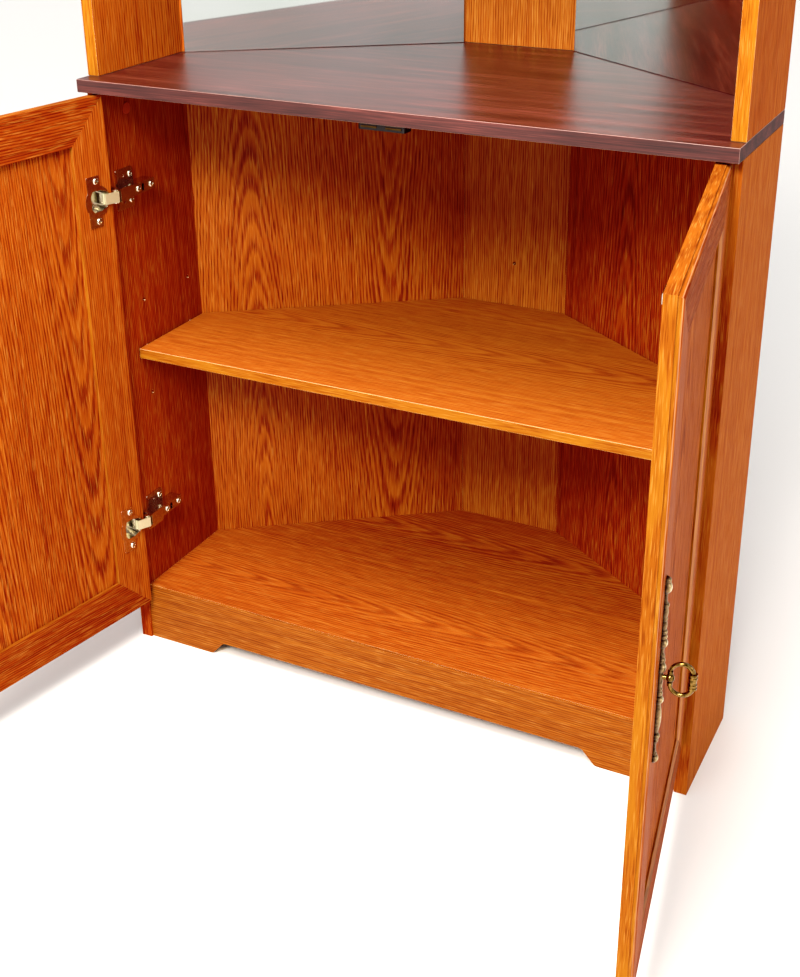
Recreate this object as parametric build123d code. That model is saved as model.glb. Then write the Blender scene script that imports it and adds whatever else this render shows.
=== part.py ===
from build123d import *
import math
import os

# Corner cabinet with a two-door base, a counter and an open upper section.
# Millimetres, +Z up, +X to the right seen from the front, +Y towards the room corner.
# Origin: on the floor, under the middle of the corner panel's bottom edge.
# The doors are modelled open, as they stand at rest.

# Plan of the whole cabinet
width = 762.0
side_depth = 160.0
side_thickness = 15.0
back_angle = 35.0
back_thickness = 12.0
back_end_inset = 6.0
corner_panel_width = 147.0

# Base
base_height = 742.0
counter_thickness = 15.0
plinth_height = 65.0
plinth_thickness = 15.0
plinth_setback = 3.0
plinth_lip = 3.0
plinth_arch_height = 20.0
foot_width = 97.0
foot_shoulder = 18.0
foot_corner = 9.0
floor_thickness = 15.0
board_gap = 0.3

# Base shelf and its supports
shelf_top = 413.3
shelf_thickness = 13.0
shelf_setback = 28.0
shelf_gap = 2.5
peg_hole_diameter = 5.0
peg_hole_depth = 10.0
peg_pitch = 63.5
peg_front = 50.5
peg_back = 145.0
peg_fit = 0.1
support_rise = 7.7
support_width = 10.0
support_reach = 13.0
support_thickness = 1.6

# Doors
door_gap = 2.0
door_thickness = 15.5
door_reveal = 2.5
door_centre_gap = 4.0
door_top_gap = 2.5
door_overlap = 17.0
door_open_angle = 99.7
frame_width = 51.0
panel_thickness = 6.0
panel_groove = 8.0
panel_fit = 0.1
frame_bevel = 3.0
quirk_height = 10.6
quirk_width = 1.2
quirk_depth = 1.4
bead_radius = 3.0

# Cup hinges
hinge_from_door_end = 120.5
cup_diameter = 35.0
cup_edge_distance = 5.0
cup_depth = 11.5
cup_wall = 1.0
cup_fit = 0.1
flange_thickness = 1.0
flange_length = 61.0
flange_width = 19.3
flange_near_edge = 17.7
flange_corner = 2.0
flange_screw_spacing = 48.0
flange_screw_offset = 0.3
pocket_far = 32.3
pocket_far_half = 7.7
pocket_wide_far = 28.7
pocket_wide_near = 18.0
pocket_wide_half = 12.5
pocket_near = 7.4
pocket_near_half = 8.8
cup_pivot_from_edge = 10.0
cup_pivot_depth = 2.5
arm_pivot_out = 12.0
arm_pivot_forward = 1.0
link_turn = 50.0
link_width = 13.0
link_thickness = 1.2
link_bow = 4.6
link_tail = 2.4
pivot_radius = 1.3
pivot_fit = 0.05
eye_wall = 1.0
side_play = 0.3
arm_thickness = 1.2
arm_length = 70.8
arm_web_start = 5.2
arm_nose_radius = 3.2
arm_waist_start = 26.0
arm_slot_middle = 46.5
arm_slot_length = 4.0
arm_slot_half = 4.2
plate_thickness = 1.5
wing_length = 50.0
wing_width = 33.0
wing_setback = 15.0
wing_corner = 4.0
plate_screw_spacing = 32.0
plate_screw_setback = 42.5
plate_hole_setback = 29.0
plate_hole_diameter = 4.0
wing_lip_start = 10.0
wing_lip_height = 4.0
wing_lip_thickness = 1.2
arm_screw_front = 38.0
arm_screw_back = 63.0
screw_head_diameter = 7.4
screw_head_height = 1.6
screw_shank_diameter = 3.6
screw_length = 11.0
arm_screw_length = 6.0

# Magnetic catch and strike plates
catch_length = 56.0
catch_depth = 16.5
catch_height = 10.8
catch_corner = 3.0
catch_setback = 0.5
pole_length = 18.5
pole_thickness = 2.0
pole_proud = 0.6
pole_gap = 3.6
pole_spacing = 29.0
strike_length = 21.0
strike_height = 8.0
strike_thickness = 0.8
strike_below_top = 4.5

# Cam covers
cover_diameter = 13.5
cover_proud = 1.0
cover_stem_diameter = 8.0
cover_stem_length = 5.0
cover_below_counter = 30.0
cover_front = 49.0
cover_back = 125.0

# Pulls
pull_length = 179.0
pull_ball_below_top = 93.5
pull_ball_height = 404.0
pull_from_edge = 23.0
pull_radius = 5.5
ball_diameter = 7.5
ball_stand_off = 9.2
stem_diameter = 4.0
ring_height = 33.0
ring_reach = 21.9
ring_wire_thin = 3.2
ring_wire_thick = 4.4
ring_pin_diameter = 2.0
ring_eye_diameter = 4.6
ring_eye_height = 3.0
ring_eye_gap = 0.3
ring_barrel_diameter = 6.6
ring_barrel_length = 14.6
ring_collar_diameter = 7.4
ring_collar_length = 1.6

# Upper section
overall_height = 1800.0
upper_setback = 5.0
upper_top_thickness = 15.0
upper_top_overhang = 12.0
upper_shelf_count = 2
mirror_thickness = 3.0
mirror_end_gap = 2.0
mirror_top_gap = 1.0

overrun = 5.0

# Values worked out from the sizes above
half_width = width / 2
inner_half = half_width - side_thickness
back_slope = math.tan(math.radians(back_angle))
back_run = back_thickness / math.cos(math.radians(back_angle))
corner_half = corner_panel_width / 2
corner_outer_half = corner_half + back_thickness * math.tan(math.radians(back_angle / 2))
corner_y = side_depth + (half_width - corner_half) * back_slope
counter_top_z = base_height + counter_thickness
floor_top = plinth_height + floor_thickness
shelf_underside = shelf_top - shelf_thickness
peg_height = shelf_underside + support_rise
peg_rows = (peg_height - peg_pitch, peg_height, peg_height + peg_pitch)
counter_overhang = door_gap + door_thickness
door_top = base_height - door_top_gap
door_bottom = floor_top - door_overlap
door_height = door_top - door_bottom
door_width = half_width - door_reveal - door_centre_gap / 2
door_edge_x = -half_width + door_reveal
cup_radius = cup_diameter / 2
cup_x = door_edge_x + cup_edge_distance + cup_radius
hinge_heights = {"upper": door_top - hinge_from_door_end, "lower": door_bottom + hinge_from_door_end}
arm_pivot = (-inner_half + arm_pivot_out, -arm_pivot_forward)
cup_pivot = (door_edge_x + cup_pivot_from_edge, -door_gap - cup_pivot_depth)
origin_y = corner_y + back_thickness / 2


# Small helpers
def upright_prism(points, bottom, top):
    face = make_face(Polyline(*points, close=True))
    return Pos(0, 0, bottom) * extrude(face, amount=top - bottom, dir=(0, 0, 1))


def block(low, high):
    size = [b - a for a, b in zip(low, high)]
    middle = [(a + b) / 2 for a, b in zip(low, high)]
    return Pos(*middle) * Box(*size)


def rod(start, direction, radius, length):
    place = Plane(origin=start, z_dir=direction)
    return place.location * Cylinder(radius, length, align=(Align.CENTER, Align.CENTER, Align.MIN))


def mirrored(shape):
    return mirror(shape, about=Plane.YZ)


def back_inner_y(x):
    return side_depth + (half_width - abs(x)) * back_slope


def both_sides(points):
    return points + [(-x, y) for x, y in reversed(points)]


def board_outline(front_y, half_front, gap):
    # Plan of a board that lies between the sides and against the back panels.
    back_gap = gap / math.cos(math.radians(back_angle))
    corner_gap = gap * math.tan(math.radians(back_angle / 2))
    right = [
        (half_front, front_y),
        (half_front, back_inner_y(half_front) - back_gap),
        (corner_half - corner_gap, corner_y - gap),
    ]
    return both_sides(right)


def covering_outline(front_y):
    # Plan of a board that covers the sides and the back panels.
    end_x = half_width - back_end_inset
    right = [
        (half_width, front_y),
        (half_width, side_depth),
        (end_x, back_inner_y(end_x) + back_run),
        (corner_outer_half, corner_y + back_thickness),
    ]
    return both_sides(right)


# Side panels, base and upper
def side_board(front_y, bottom, top):
    points = [
        (-half_width, front_y),
        (-inner_half, front_y),
        (-inner_half, back_inner_y(inner_half)),
        (-half_width, side_depth),
    ]
    return upright_prism(points, bottom, top)


def peg_hole(start, direction):
    return rod(start, direction, peg_hole_diameter / 2, peg_hole_depth)


def base_side_left():
    panel = side_board(0, 0, base_height)
    for height in peg_rows:
        for depth in (peg_front, peg_back):
            panel -= peg_hole((-inner_half, depth, height), (-1, 0, 0))
    for depth in (cover_front, cover_back):
        start = (-inner_half, depth, base_height - cover_below_counter)
        panel -= rod(start, (-1, 0, 0), cover_stem_diameter / 2 + peg_fit, cover_stem_length + peg_fit)
    return panel


# Back and corner panels, base and upper
def back_panel_left(bottom, top):
    end_x = half_width - back_end_inset
    points = [
        (-end_x, back_inner_y(end_x)),
        (-corner_half, corner_y),
        (-corner_outer_half, corner_y + back_thickness),
        (-end_x, back_inner_y(end_x) + back_run),
    ]
    return upright_prism(points, bottom, top)


def corner_board(bottom, top):
    points = [
        (-corner_half, corner_y),
        (corner_half, corner_y),
        (corner_outer_half, corner_y + back_thickness),
        (-corner_outer_half, corner_y + back_thickness),
    ]
    return upright_prism(points, bottom, top)


def base_corner_panel():
    panel = corner_board(0, base_height)
    for height in peg_rows:
        panel -= peg_hole((0, corner_y, height), (0, 1, 0))
    return panel


# Floor board, and the plinth with its bracket feet and a lip in front of the board
def floor_board():
    outline = board_outline(plinth_setback + plinth_lip, inner_half, 0)
    return upright_prism(outline, plinth_height, floor_top)


def plinth_board():
    toe = (inner_half - foot_width, 0)
    heel = (inner_half - foot_width - foot_shoulder, plinth_arch_height)
    right = [heel, toe, (inner_half, 0), (inner_half, floor_top)]
    face = make_face(Polyline(*both_sides(right), close=True))
    shoulders = [v for v in face.vertices() if abs(v.X) < toe[0] + foot_corner]
    face = fillet(shoulders, foot_corner)
    front = Plane(origin=(0, plinth_setback, 0), x_dir=(1, 0, 0), z_dir=(0, -1, 0))
    board = extrude(front.location * face, amount=-plinth_thickness)
    rebate = block(
        (-inner_half - overrun, plinth_setback + plinth_lip, plinth_height),
        (inner_half + overrun, plinth_setback + plinth_thickness + overrun, floor_top + overrun),
    )
    return board - rebate


# Counter
def counter_board():
    return upright_prism(covering_outline(-counter_overhang), base_height, counter_top_z)


# Base shelf and its angle supports
def base_shelf():
    outline = board_outline(shelf_setback, inner_half - shelf_gap, shelf_gap)
    return upright_prism(outline, shelf_underside, shelf_top)


def shelf_support():
    # Local frame: the wall is the plane y = 0, the shelf lies towards -y, the tab's top is z = 0.
    half = support_width / 2
    tab = block((-half, -support_reach, -support_thickness), (half, 0, 0))
    plate = block((-half, -support_thickness, -support_thickness), (half, 0, support_rise))
    plate += Pos(0, 0, support_rise) * rod((0, -support_thickness, 0), (0, 1, 0), half, support_thickness)
    peg = rod((0, -support_thickness, support_rise), (0, 1, 0), peg_hole_diameter / 2 - peg_fit,
              peg_hole_depth + support_thickness - peg_fit)
    return tab + plate + peg


def shelf_supports():
    pieces = [Pos(0, corner_y, shelf_underside) * shelf_support()]
    for depth in (peg_front, peg_back):
        right = Pos(inner_half, depth, shelf_underside) * Rot(0, 0, -90) * shelf_support()
        pieces += [right, mirrored(right)]
    return pieces


# Door frames: mitred members with a stepped outer edge and a groove for the panel
def member_profile():
    groove_low = (door_thickness - panel_thickness) / 2 - panel_fit
    groove_high = door_thickness - groove_low
    quirk_top = quirk_height + quirk_width
    lower = Polyline(
        (bead_radius + quirk_depth, door_thickness), (frame_width - frame_bevel, door_thickness),
        (frame_width, door_thickness - frame_bevel), (frame_width, groove_high),
        (frame_width - panel_groove, groove_high), (frame_width - panel_groove, groove_low),
        (frame_width, groove_low), (frame_width, 0), (0, 0), (0, quirk_height),
        (quirk_depth, quirk_height), (quirk_depth, quirk_top),
    )
    bead_start = (quirk_depth, quirk_top)
    bead_end = (bead_radius + quirk_depth, door_thickness)
    bead = RadiusArc(bead_start, bead_end, math.dist(bead_start, bead_end))
    return make_face(lower + bead)


def frame_member(length):
    # Local frame: X along the member, Y in from the door's edge, Z from the inner to the outer face.
    across = Plane(origin=(0, 0, 0), x_dir=(0, 1, 0), z_dir=(1, 0, 0))
    bar = extrude(across.location * member_profile(), amount=length, dir=(1, 0, 0))
    mitre = [(0, 0), (length, 0), (length - frame_width, frame_width), (frame_width, frame_width)]
    return bar & upright_prism(mitre, 0, door_thickness)


def placed_member(length, corner, along):
    place = Plane(origin=corner, x_dir=along, z_dir=(0, -1, 0))
    return place.location * frame_member(length)


def closed_door_frame():
    # The left door, shut. Its inner face is the plane y = -door_gap.
    left, right = door_edge_x, door_edge_x + door_width
    stile_hinge = placed_member(door_height, (left, -door_gap, door_top), (0, 0, -1))
    for height in hinge_heights.values():
        stile_hinge -= rod((cup_x, -door_gap, height), (0, -1, 0), cup_radius, cup_depth + cup_fit)
    return {
        "stile_hinge": stile_hinge,
        "stile_free": placed_member(door_height, (right, -door_gap, door_bottom), (0, 0, 1)),
        "rail_top": placed_member(door_width, (right, -door_gap, door_top), (-1, 0, 0)),
        "rail_bottom": placed_member(door_width, (left, -door_gap, door_bottom), (1, 0, 0)),
    }


def closed_door_panel():
    margin = frame_width - panel_groove + panel_fit
    middle_y = -door_gap - door_thickness / 2
    return block(
        (door_edge_x + margin, middle_y - panel_thickness / 2, door_bottom + margin),
        (door_edge_x + door_width - margin, middle_y + panel_thickness / 2, door_top - margin),
    )


def strike_plate():
    pole_x = -pole_spacing / 2
    middle_z = door_top - strike_below_top
    return block(
        (pole_x - strike_length / 2, -door_gap, middle_z - strike_height / 2),
        (pole_x + strike_length / 2, -door_gap + strike_thickness, middle_z + strike_height / 2),
    )


# Cup hinges, drawn shut, on the left door
def hinge_cup(height):
    outer = cup_radius - cup_fit
    cavity = cup_radius - cup_fit - cup_wall
    face_y = -door_gap
    top_y = face_y + flange_thickness
    rim = rod((cup_x, top_y, height), (0, -1, 0), outer + cup_wall, flange_thickness)
    body = rod((cup_x, top_y, height), (0, -1, 0), outer, flange_thickness + cup_depth)
    near = door_edge_x + flange_near_edge
    flange = block(
        (near, face_y, height - flange_length / 2), (near + flange_width, top_y, height + flange_length / 2)
    )
    flange = fillet(flange.edges().filter_by(Axis.Y), flange_corner)
    hollow = rod((cup_x, top_y, height), (0, -1, 0), cavity, flange_thickness + cup_depth - cup_wall)
    hollow &= cup_pocket(height)
    pin_half = link_width / 2 + side_play + cup_wall
    pin = rod((*cup_pivot, height - pin_half), (0, 0, 1), pivot_radius, 2 * pin_half)
    ears = pivot_ear(height + link_width / 2 + side_play) + pivot_ear(height - pin_half)
    return body + rim + flange - hollow + pin + ears


def cup_pocket(height):
    # Eight-sided mouth of the cup: widest under the flange, and narrow where the link leaves it.
    half = [
        (pocket_near, pocket_near_half), (pocket_wide_near, pocket_wide_half),
        (pocket_wide_far, pocket_wide_half), (pocket_far, pocket_far_half),
    ]
    outline = half + [(x, -z) for x, z in reversed(half)]
    mouth = Plane(origin=(door_edge_x, flange_thickness, height), x_dir=(1, 0, 0), z_dir=(0, -1, 0))
    face = make_face(Polyline(*outline, close=True))
    return extrude(mouth.location * face, amount=2 * cup_depth, dir=(0, -1, 0))


def pivot_ear(bottom):
    # A small cheek inside the cup that holds one end of the pivot pin.
    deepest = -door_gap - cup_depth + cup_wall / 2
    half = pivot_radius + eye_wall
    x, y = cup_pivot
    return block((x - half, deepest, bottom), (x + half, y + half, bottom + cup_wall))


def cup_screws():
    pieces = []
    for height in hinge_heights.values():
        for side in (-1, 1):
            z = height + side * flange_screw_spacing / 2
            seat = (cup_x + flange_screw_offset, -door_gap + flange_thickness, z)
            pieces.append(rod(seat, (0, 1, 0), screw_head_diameter / 2, screw_head_height))
    return pieces


def hinge_link(height):
    # Bowed strap between the two pivots; its bow drops into the cup when the door shuts.
    dx = arm_pivot[0] - cup_pivot[0]
    dy = arm_pivot[1] - cup_pivot[1]
    reach = math.hypot(dx, dy)
    along = (dx / reach, dy / reach, 0)
    eye = pivot_radius + pivot_fit + eye_wall
    half = link_thickness / 2
    strap = Rectangle(link_thickness, link_bow, align=(Align.CENTER, Align.MIN))
    strap += Pos(reach, 0) * Rectangle(link_thickness, link_bow, align=(Align.CENTER, Align.MIN))
    flat = reach + link_thickness + link_tail
    strap += Pos(-half, link_bow - half) * Rectangle(flat, link_thickness, align=Align.MIN)
    corners = [v for v in strap.vertices() if v.Y > link_bow]
    strap = fillet(corners, link_thickness / 2)
    strap += Circle(eye)
    strap += Pos(reach, 0) * Circle(eye)
    strap -= Circle(pivot_radius + pivot_fit)
    strap -= Pos(reach, 0) * Circle(pivot_radius + pivot_fit)
    place = Plane(origin=(*cup_pivot, height + link_width / 2), x_dir=along, z_dir=(0, 0, -1))
    return place.location * extrude(strap, amount=link_width, dir=(0, 0, 1))


def hinge_arm(height):
    # Channel over the plate's spine, with two ears that hold the front pin.
    wall_x = -inner_half
    inner = link_width / 2 + side_play
    outer = inner + arm_thickness
    web_in = arm_pivot[0] + arm_nose_radius
    web_out = web_in + arm_thickness
    start = arm_pivot[1] + arm_web_start
    end = arm_pivot[1] + arm_length
    lift = wall_x + plate_thickness
    shell = block((lift, start, height - outer), (web_out, end, height + outer))
    shell -= block((lift - overrun, start - overrun, height - inner), (web_in, end + overrun, height + inner))
    for bottom in (height - outer, height + inner):
        top = bottom + arm_thickness
        shell -= block((lift - overrun, arm_waist_start, bottom), (web_out + overrun, end + overrun, top))
        nose = rod((*arm_pivot, bottom), (0, 0, 1), arm_nose_radius, arm_thickness)
        ear = block((arm_pivot[0] - arm_nose_radius, arm_pivot[1], bottom), (web_out, start, top))
        shell += nose + ear
    for depth in (arm_screw_front, arm_screw_back):
        hole_start = (web_out + overrun, depth, height)
        shell -= rod(hole_start, (-1, 0, 0), screw_shank_diameter / 2 + side_play, 2 * overrun + arm_thickness)
    shell -= arm_slot(web_in, height)
    pin = rod((*arm_pivot, height - outer), (0, 0, 1), pivot_radius, 2 * outer)
    return shell + pin


def arm_slot(web_in, height):
    # Slot between the two screws, through the arm's web and the top of the plate's spine.
    near = arm_slot_middle - arm_slot_length / 2
    return block(
        (web_in - 2 * arm_thickness, near, height - arm_slot_half),
        (web_in + 2 * arm_thickness, near + arm_slot_length, height + arm_slot_half),
    )


def hinge_plate(height):
    # Winged plate on the side panel, with the raised spine that carries the arm.
    wall_x = -inner_half
    wings = block(
        (wall_x, wing_setback, height - wing_length / 2),
        (wall_x + plate_thickness, wing_setback + wing_width, height + wing_length / 2),
    )
    wings = fillet(wings.edges().filter_by(Axis.X), wing_corner)
    spine_half = link_width / 2
    spine_top = arm_pivot[0] + arm_nose_radius
    spine_start = arm_pivot[1] + arm_web_start + arm_nose_radius
    spine_end = arm_pivot[1] + arm_length - arm_thickness
    spine = block((wall_x, spine_start, height - spine_half), (spine_top, spine_end, height + spine_half))
    spine -= block(
        (wall_x - overrun, spine_start + arm_thickness, height - spine_half + arm_thickness),
        (spine_top - arm_thickness, spine_end - arm_thickness, height + spine_half - arm_thickness),
    )
    plate = wings + spine - arm_slot(spine_top, height)
    for depth in (arm_screw_front, arm_screw_back):
        hole_start = (spine_top + overrun, depth, height)
        plate -= rod(hole_start, (-1, 0, 0), screw_shank_diameter / 2 + pivot_fit, overrun + 2 * arm_thickness)
    for side in (-1, 1):
        hole_start = (wall_x - overrun, plate_hole_setback, height + side * plate_screw_spacing / 2)
        plate -= rod(hole_start, (1, 0, 0), plate_hole_diameter / 2, plate_thickness + 2 * overrun)
        lip_from = height + side * wing_lip_start
        lip_to = height + side * (wing_length / 2 - wing_corner)
        plate += block(
            (wall_x, wing_setback, min(lip_from, lip_to)),
            (wall_x + wing_lip_height, wing_setback + wing_lip_thickness, max(lip_from, lip_to)),
        )
    return plate


def arm_screws():
    pieces = []
    for height in hinge_heights.values():
        for depth in (arm_screw_front, arm_screw_back):
            seat = (arm_pivot[0] + arm_nose_radius + arm_thickness, depth, height)
            screw = rod(seat, (1, 0, 0), screw_head_diameter / 2, screw_head_height)
            screw += rod(seat, (-1, 0, 0), screw_shank_diameter / 2, arm_screw_length)
            pieces.append(screw)
    return pieces


def plate_screws():
    pieces = []
    for height in hinge_heights.values():
        for side in (-1, 1):
            seat = (-inner_half + plate_thickness, plate_screw_setback, height + side * plate_screw_spacing / 2)
            pieces.append(rod(seat, (1, 0, 0), screw_head_diameter / 2, screw_head_height))
    return pieces


# Magnetic catch under the counter
def catch_housing():
    front = catch_setback
    low = base_height - catch_height
    body = block((-catch_length / 2, front, low), (catch_length / 2, front + catch_depth, base_height))
    body = fillet(body.edges().filter_by(Axis.Z), catch_corner)
    for piece in catch_poles():
        body -= piece
    return body


def catch_poles():
    pieces = []
    middle_z = base_height - catch_height / 2
    for side in (-1, 1):
        for level in (-1, 1):
            z = middle_z + level * pole_gap / 2
            x = side * pole_spacing / 2
            pieces.append(block(
                (x - pole_length / 2, catch_setback - pole_proud, z - pole_thickness / 2),
                (x + pole_length / 2, catch_setback + catch_depth / 2, z + pole_thickness / 2),
            ))
    return pieces


def cam_covers():
    pieces = []
    for depth in (cover_front, cover_back):
        start = (-inner_half, depth, base_height - cover_below_counter)
        cover = rod(start, (1, 0, 0), cover_diameter / 2, cover_proud)
        cover += rod(start, (-1, 0, 0), cover_stem_diameter / 2, cover_stem_length)
        pieces += [cover, mirrored(cover)]
    return pieces


# Pulls: half-turned backplate, a ball on a stem, and a swinging ring
# The backplate is a row of turned swells from its top down. Each has the height and radius of the
# valley where it starts, then of its crest, as shares of the plate's length and largest radius.
pull_swell_shares = (
    (0.000, 0.45, 0.010, 0.80), (0.022, 0.66, 0.046, 1.00), (0.080, 0.48, 0.104, 0.42),
    (0.131, 0.52, 0.140, 0.78), (0.151, 0.56, 0.177, 0.72), (0.203, 0.58, 0.211, 0.70),
    (0.222, 0.58, 0.245, 0.70), (0.270, 0.56, 0.281, 0.80), (0.294, 0.56, 0.305, 0.84),
    (0.318, 0.58, 0.340, 0.98), (0.362, 0.58, 0.382, 0.52), (0.400, 0.56, 0.408, 0.70),
    (0.418, 0.56, 0.433, 0.80), (0.448, 0.58, 0.473, 1.00), (0.497, 0.60, 0.540, 0.68),
    (0.580, 0.60, 0.590, 0.72), (0.600, 0.58, 0.614, 0.78), (0.627, 0.58, 0.645, 0.98),
    (0.668, 0.56, 0.740, 0.84), (0.838, 0.46, 0.854, 0.82), (0.866, 0.54, 0.875, 0.68),
    (0.886, 0.50, 0.918, 0.40), (0.943, 0.48, 0.951, 0.62), (0.960, 0.52, 0.980, 0.88),
)
pull_end_shares = (1.0, 0.30)


def pull_place():
    # Where the pull's axis meets the outer face of the shut left door, in plan.
    return door_edge_x + door_width - pull_from_edge, -door_gap - door_thickness


def pull_backplate():
    x, y = pull_place()

    def outline_point(height, radius):
        return pull_radius * radius, -pull_length * height

    starts = [outline_point(*swell[:2]) for swell in pull_swell_shares] + [outline_point(*pull_end_shares)]
    crests = [outline_point(*swell[2:]) for swell in pull_swell_shares]
    outline = Polyline(starts[-1], (0, starts[-1][1]), (0, 0), starts[0])
    for start, crest, end in zip(starts, crests, starts[1:]):
        outline += ThreePointArc(start, crest, end)
    turned = revolve(Plane.XZ.location * make_face(outline), axis=Axis.Z)
    side = pull_radius + overrun
    turned &= block((-side, -side, -pull_length - overrun), (side, 0, overrun))
    stem_hole = rod((x, y, pull_ball_height), (0, -1, 0), stem_diameter / 2 + peg_fit, side)
    return Pos(x, y, pull_ball_height + pull_ball_below_top) * turned - stem_hole


def pull_post():
    x, y = pull_place()
    centre_y = y - ball_stand_off
    ball = Pos(x, centre_y, pull_ball_height) * Sphere(ball_diameter / 2)
    stem = rod((x, y, pull_ball_height), (0, -1, 0), stem_diameter / 2, ball_stand_off)
    pin_half = ball_diameter / 2 + ring_eye_gap + ring_eye_height
    pin = rod((x, centre_y, pull_ball_height - pin_half), (0, 0, 1), ring_pin_diameter / 2, 2 * pin_half)
    return ball + stem + pin


def ring_half():
    # Upper half of the ring in its own plane: u outwards from the pin, v up from the ball's middle.
    eye_low = ball_diameter / 2 + ring_eye_gap
    barrel_u = ring_reach - ring_collar_diameter / 2
    barrel_half = ring_barrel_length / 2
    crown = (barrel_u / 2, (ring_height - ring_wire_thin) / 2)
    rise = TangentArc((0, eye_low + ring_eye_height / 2), crown, tangent=(0, 1))
    fall = TangentArc(crown, (barrel_u, barrel_half - ring_collar_length), tangent=rise % 1)
    thin = Plane(origin=rise @ 0, z_dir=rise % 0) * Circle(ring_wire_thin / 2)
    thick = Plane(origin=fall @ 1, z_dir=fall % 1) * Circle(ring_wire_thick / 2)
    half = sweep([thin, thick], path=rise + fall, multisection=True)
    half += rod((0, eye_low, 0), (0, 1, 0), ring_eye_diameter / 2, ring_eye_height)
    half += rod((barrel_u, 0, 0), (0, 1, 0), ring_barrel_diameter / 2, barrel_half)
    collar = rod((barrel_u, 0, 0), (0, 1, 0), ring_collar_diameter / 2, ring_collar_length)
    half += Pos(0, barrel_half - ring_collar_length, 0) * collar
    half += Pos(0, barrel_half - 3 * ring_collar_length, 0) * collar
    pin_length = eye_low + ring_eye_height + ring_eye_gap
    return half - rod((0, 0, 0), (0, 1, 0), ring_pin_diameter / 2 + pivot_fit, pin_length)


def pull_ring():
    x, y = pull_place()
    upper = ring_half()
    ring = upper + mirror(upper, about=Plane.XZ)
    place = Plane(origin=(x, y - ball_stand_off, pull_ball_height), x_dir=(0, -1, 0), z_dir=(-1, 0, 0))
    return place.location * ring


# Opening a door: the links turn on the arms, and the door turns on the links
def turned_about(shape, point, angle):
    return Pos(*point, 0) * Rot(0, 0, angle) * Pos(-point[0], -point[1], 0) * shape


def opened_link(shape):
    return turned_about(shape, arm_pivot, link_turn)


def opened_door(shape):
    return opened_link(turned_about(shape, cup_pivot, -(door_open_angle + link_turn)))


# Upper section
def upper_side_left():
    return side_board(upper_setback, counter_top_z, overall_height - upper_top_thickness)


def upper_top():
    outline = covering_outline(-upper_top_overhang)
    return upright_prism(outline, overall_height - upper_top_thickness, overall_height)


def upper_shelf_underside(number):
    clear = overall_height - upper_top_thickness - counter_top_z
    step = (clear - upper_shelf_count * shelf_thickness) / (upper_shelf_count + 1)
    return counter_top_z + number * step + (number - 1) * shelf_thickness


def upper_shelf(number):
    low = upper_shelf_underside(number)
    return upright_prism(board_outline(shelf_setback, inner_half, 0), low, low + shelf_thickness)


def mirror_pane_left():
    # Stands on the counter, flat against the back panel, up to the first shelf.
    turn = math.radians(back_angle)
    dx, dy = mirror_thickness * math.sin(turn), -mirror_thickness * math.cos(turn)
    ends = (-inner_half + mirror_end_gap, -corner_half - mirror_end_gap)
    back = [(x, back_inner_y(x)) for x in ends]
    front = [(x + dx, y + dy) for x, y in reversed(back)]
    return upright_prism(back + front, counter_top_z, upper_shelf_underside(1) - mirror_top_gap)


# All pieces by name
def collect():
    upper_end = overall_height - upper_top_thickness
    nodes = {
        "floor_board": floor_board(),
        "plinth": plinth_board(),
        "counter_top": counter_board(),
        "corner_panel": base_corner_panel(),
        "base_shelf": base_shelf(),
        "shelf_supports": shelf_supports(),
        "magnetic_catch": catch_housing(),
        "catch_pole_plates": catch_poles(),
        "cam_covers": cam_covers(),
        "upper_corner_panel": corner_board(counter_top_z, upper_end),
        "upper_top": upper_top(),
        "mirror_panes": [mirror_pane_left(), mirrored(mirror_pane_left())],
    }
    for number in range(1, upper_shelf_count + 1):
        nodes[f"upper_shelf_{number}"] = upper_shelf(number)
    for name, screws in (("hinge_arm_screws", arm_screws()), ("hinge_plate_screws", plate_screws())):
        nodes[name] = screws + [mirrored(screw) for screw in screws]

    door = closed_door_frame()
    door["panel"] = closed_door_panel()
    door["strike_plate"] = strike_plate()
    door["pull_backplate"] = pull_backplate()
    door["pull_post"] = pull_post()
    door["pull_ring"] = pull_ring()
    left = {f"door_{name}": opened_door(shape) for name, shape in door.items()}
    left["door_cup_screws"] = [opened_door(piece) for piece in cup_screws()]
    left["side_panel"] = base_side_left()
    left["back_panel"] = back_panel_left(0, base_height)
    left["upper_side"] = upper_side_left()
    left["upper_back_panel"] = back_panel_left(counter_top_z, upper_end)
    for level, height in hinge_heights.items():
        left[f"hinge_cup_{level}"] = opened_door(hinge_cup(height))
        left[f"hinge_link_{level}"] = opened_link(hinge_link(height))
        left[f"hinge_arm_{level}"] = hinge_arm(height)
        left[f"hinge_plate_{level}"] = hinge_plate(height)
    for name, shape in left.items():
        group = shape if isinstance(shape, list) else [shape]
        nodes[f"{name}_left"] = group
        nodes[f"{name}_right"] = [mirrored(piece) for piece in group]
    return nodes


def placed(shape):
    pieces = shape if isinstance(shape, list) else [shape]
    moved = [Pos(0, -origin_y, 0) * piece for piece in pieces]
    if len(moved) == 1:
        return moved[0]
    return Compound(children=moved)


def main():
    os.makedirs("parts", exist_ok=True)
    for name, shape in collect().items():
        export_step(placed(shape), f"parts/{name}.step")


main()
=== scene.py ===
import math

import bmesh
import bpy
from mathutils import Matrix, Vector


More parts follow.
